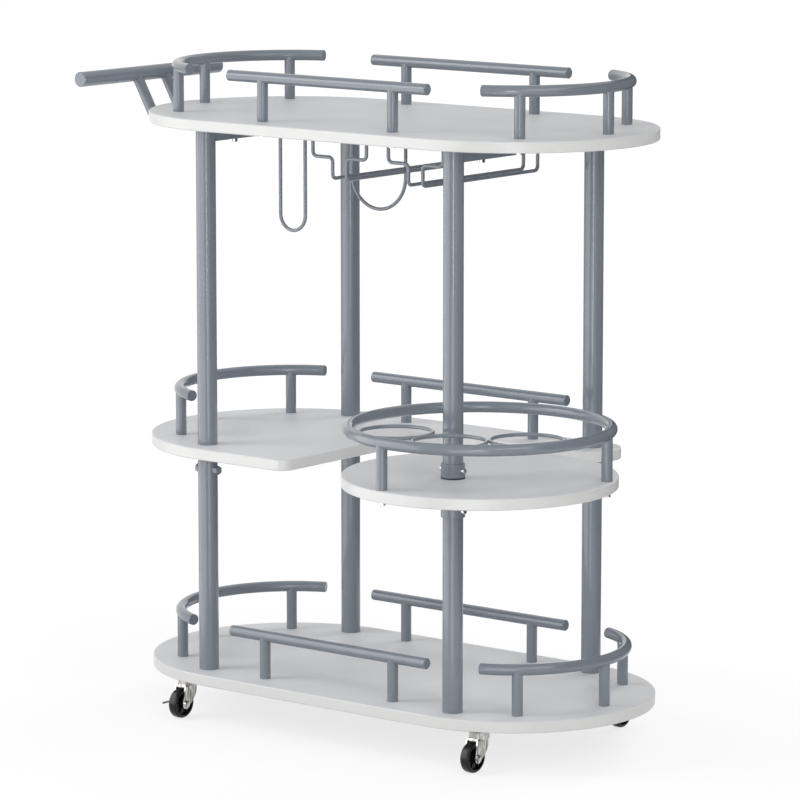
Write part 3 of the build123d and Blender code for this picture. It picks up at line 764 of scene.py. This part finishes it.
start_fresh()
bpy.ops.mesh.primitive_circle_add(
    vertices=ROLL_SIDES,
    radius=ROLL_R,
    location=(DRUM_R, 0, 0),
    rotation=(math.pi / 2, 0, 0),
)
bpy.ops.object.transform_apply(location=True, rotation=True)
rolled_rim = bpy.context.object
bpy.ops.object.mode_set(mode="EDIT")
bpy.ops.mesh.select_all(action="SELECT")
bpy.ops.mesh.spin(steps=ROLL_STEPS, angle=2 * math.pi, center=(0, 0, 0), axis=(0, 0, 1))
bpy.ops.mesh.select_all(action="SELECT")
bpy.ops.mesh.remove_doubles(threshold=TOUCH)
bpy.ops.mesh.normals_make_consistent(inside=False)
bpy.ops.object.mode_set(mode="OBJECT")
for corner in CORNERS:
    stem = middle_xy("caster_stem_" + corner)
    rim_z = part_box("caster_fork_" + corner)[1][2] - ROLL_R
    spread(rolled_rim, "drum_rim_" + corner, [(*stem, rim_z)], "fork_" + corner, "zinc_steel")
bpy.data.objects.remove(rolled_rim)

# %% [markdown]
# ## Camera
# The camera stands at the front right, a little above the top board, with a long lens, so upright
# edges stay nearly parallel. Its place, direction and lens were worked out from the outlines of
# the boards and the posts in the photograph, which is more exact than placing it by eye.

# %% Camera
LENS_MM = 203.63
CAMERA_PLACE = (3.4838, -4.3817, 1.3214)
CAMERA_TILT = math.radians(80.789)
CAMERA_TURN = math.radians(38.483)
SIGHT_END = 50

camera_data = bpy.data.cameras.new("photo_camera")
camera = bpy.data.objects.new("photo_camera", camera_data)
bpy.context.scene.collection.objects.link(camera)
camera_data.lens = LENS_MM
camera_data.clip_end = SIGHT_END
camera.location = CAMERA_PLACE
camera.rotation_euler = (CAMERA_TILT, 0, CAMERA_TURN)
bpy.context.scene.camera = camera
print("Camera height and lens:", CAMERA_PLACE[2], LENS_MM)

# %% [markdown]
# ## Floor and surround
# Lamps strong enough to make a floor white would wash out the cart. So the floor and the surround
# look white to the camera and in reflections, but light the object only softly. The light path
# tells which kind of ray is asking. The floor adds a little of the real light to its white, so
# the soft shadow under the casters stays.


# %% Rays that see white
def add_seen(tree):
    path = add(tree, "ShaderNodeLightPath")
    direct = add(
        tree,
        "ShaderNodeMath",
        operation="MAXIMUM",
        links={0: path.outputs["Is Camera Ray"], 1: path.outputs["Is Glossy Ray"]},
    )
    return add(
        tree,
        "ShaderNodeMath",
        operation="MAXIMUM",
        links={0: direct.outputs[0], 1: path.outputs["Is Transmission Ray"]},
    )


print("Rays that see white: camera, glossy and transmission")

# %% White floor
FLOOR_SIZE = 30
PALE_GREY = 0.8
SHADOW_GREY = 0.3
GLOW_NEAR = 0.74
GLOW_FAR = 0.92
NEAR_BY = 0.5
FAR_OFF = 2.5

start_fresh()
bpy.ops.mesh.primitive_plane_add(size=FLOOR_SIZE, location=(0, 0, 0))
floor = bpy.context.object
floor.name = "studio_floor"
finish, tree = new_finish("studio_floor")
seen = add_seen(tree)
pale = add(tree, "ShaderNodeBsdfDiffuse", {"Color": (PALE_GREY, PALE_GREY, PALE_GREY, 1)})
soft = add(
    tree,
    "ShaderNodeBsdfDiffuse",
    {"Color": (SHADOW_GREY, SHADOW_GREY, SHADOW_GREY, 1)},
)
place = add(tree, "ShaderNodeTexCoord").outputs["Object"]
away = add(tree, "ShaderNodeVectorMath", operation="LENGTH", links={0: place})
lift = add(
    tree,
    "ShaderNodeMapRange",
    {"From Min": NEAR_BY, "From Max": FAR_OFF, "To Min": GLOW_NEAR, "To Max": GLOW_FAR},
    {"Value": away.outputs["Value"]},
)
glow = add(tree, "ShaderNodeEmission", links={"Strength": lift.outputs["Result"]})
shown = add(tree, "ShaderNodeAddShader", links={0: soft.outputs[0], 1: glow.outputs[0]})
mixed = add(
    tree,
    "ShaderNodeMixShader",
    links={0: seen.outputs[0], 1: pale.outputs[0], 2: shown.outputs[0]},
)
add(tree, "ShaderNodeOutputMaterial", links={"Surface": mixed.outputs[0]})
floor.data.materials.append(finish)
print("Floor:", floor.name)

# %% White surround
AMBIENT = 0.38
WHITE = 1.0

world = bpy.data.worlds.new("studio")
bpy.context.scene.world = world
world.use_nodes = True
tree = world.node_tree
tree.nodes.clear()
seen = add_seen(tree)
strength = add(
    tree,
    "ShaderNodeMapRange",
    {"To Min": AMBIENT, "To Max": WHITE},
    {"Value": seen.outputs[0]},
)
ground = add(
    tree,
    "ShaderNodeBackground",
    {"Color": (WHITE, WHITE, WHITE, 1)},
    {"Strength": strength.outputs["Result"]},
)
add(tree, "ShaderNodeOutputWorld", links={"Surface": ground.outputs[0]})
print("Surround:", world.name)

# %% [markdown]
# ## Lamps
# A big soft box at the front left gives the main light. Weaker ones behind reach in between the
# boards, and one at the right fills the shade. A narrow box beside the camera draws the thin
# bright line down the middle of every tube. Area lamps are chosen, because a glossy tube mirrors
# the shape of the lamp.

# %% Lamps
CENTRE = Vector((0, 0, 0.42))


def soft_box(name, place, width, height, power):
    bpy.ops.object.light_add(type="AREA", location=place)
    lamp = bpy.context.object
    lamp.name = name
    lamp.data.shape = "RECTANGLE"
    lamp.data.size = width
    lamp.data.size_y = height
    lamp.data.energy = power
    aim = CENTRE - Vector(place)
    lamp.rotation_euler = aim.to_track_quat("-Z", "Y").to_euler()
    lamp.visible_camera = False


soft_box("key_left", (-1.62, -1.65, 1.62), width=1.5, height=1.3, power=28)
soft_box("key_back", (-1.9, 0.5, 1.9), width=2.0, height=1.2, power=3)
soft_box("fill_back", (0.2, 1.2, 1.0), width=0.8, height=0.8, power=6)
soft_box("fill_right", (2.05, -0.7, 1.75), width=1.6, height=1.1, power=13)
soft_box("front_strip", (1.55, -1.95, 0.64), width=0.4, height=1.25, power=12)

# %% [markdown]
# ## White cards and a dark flag
# More lamps would brighten the boards too. Cards that are seen only in reflections change little
# but the tubes and the bare metal. The white ones put a pale band on the left of the tubes and
# carry the bright line down to the bottom board. The dark flag gives the tubes a dark right edge,
# so that they stand out from the white ground.


# %% Cards and flag
def card(name, place, width, height, colour, strength):
    start_fresh()
    bpy.ops.mesh.primitive_plane_add(size=1, location=(*place, height / 2))
    panel = bpy.context.object
    panel.name = name
    panel.scale = (width, height, 1)
    panel.rotation_euler = Vector((*place, 0)).to_track_quat("Z", "Y").to_euler()
    panel.visible_camera = False
    panel.visible_diffuse = False
    panel.visible_shadow = False
    finish, tree = new_finish(name)
    shine = add(tree, "ShaderNodeEmission", {"Color": linear(colour), "Strength": strength})
    add(tree, "ShaderNodeOutputMaterial", links={"Surface": shine.outputs[0]})
    panel.data.materials.append(finish)
    print("Card:", name)


card("white_card_left", (-0.43, -0.6), width=1.2, height=0.9, colour="#ffffff", strength=3.3)
card("white_card_front", (0.47, -0.61), width=0.3, height=0.5, colour="#ffffff", strength=3.2)
card("black_flag_right", (0.45, 0.6), width=3.0, height=1.4, colour="#3a3d42", strength=1.0)

# With the Standard view a colour shows about as it is written
bpy.context.scene.view_settings.view_transform = "Standard"
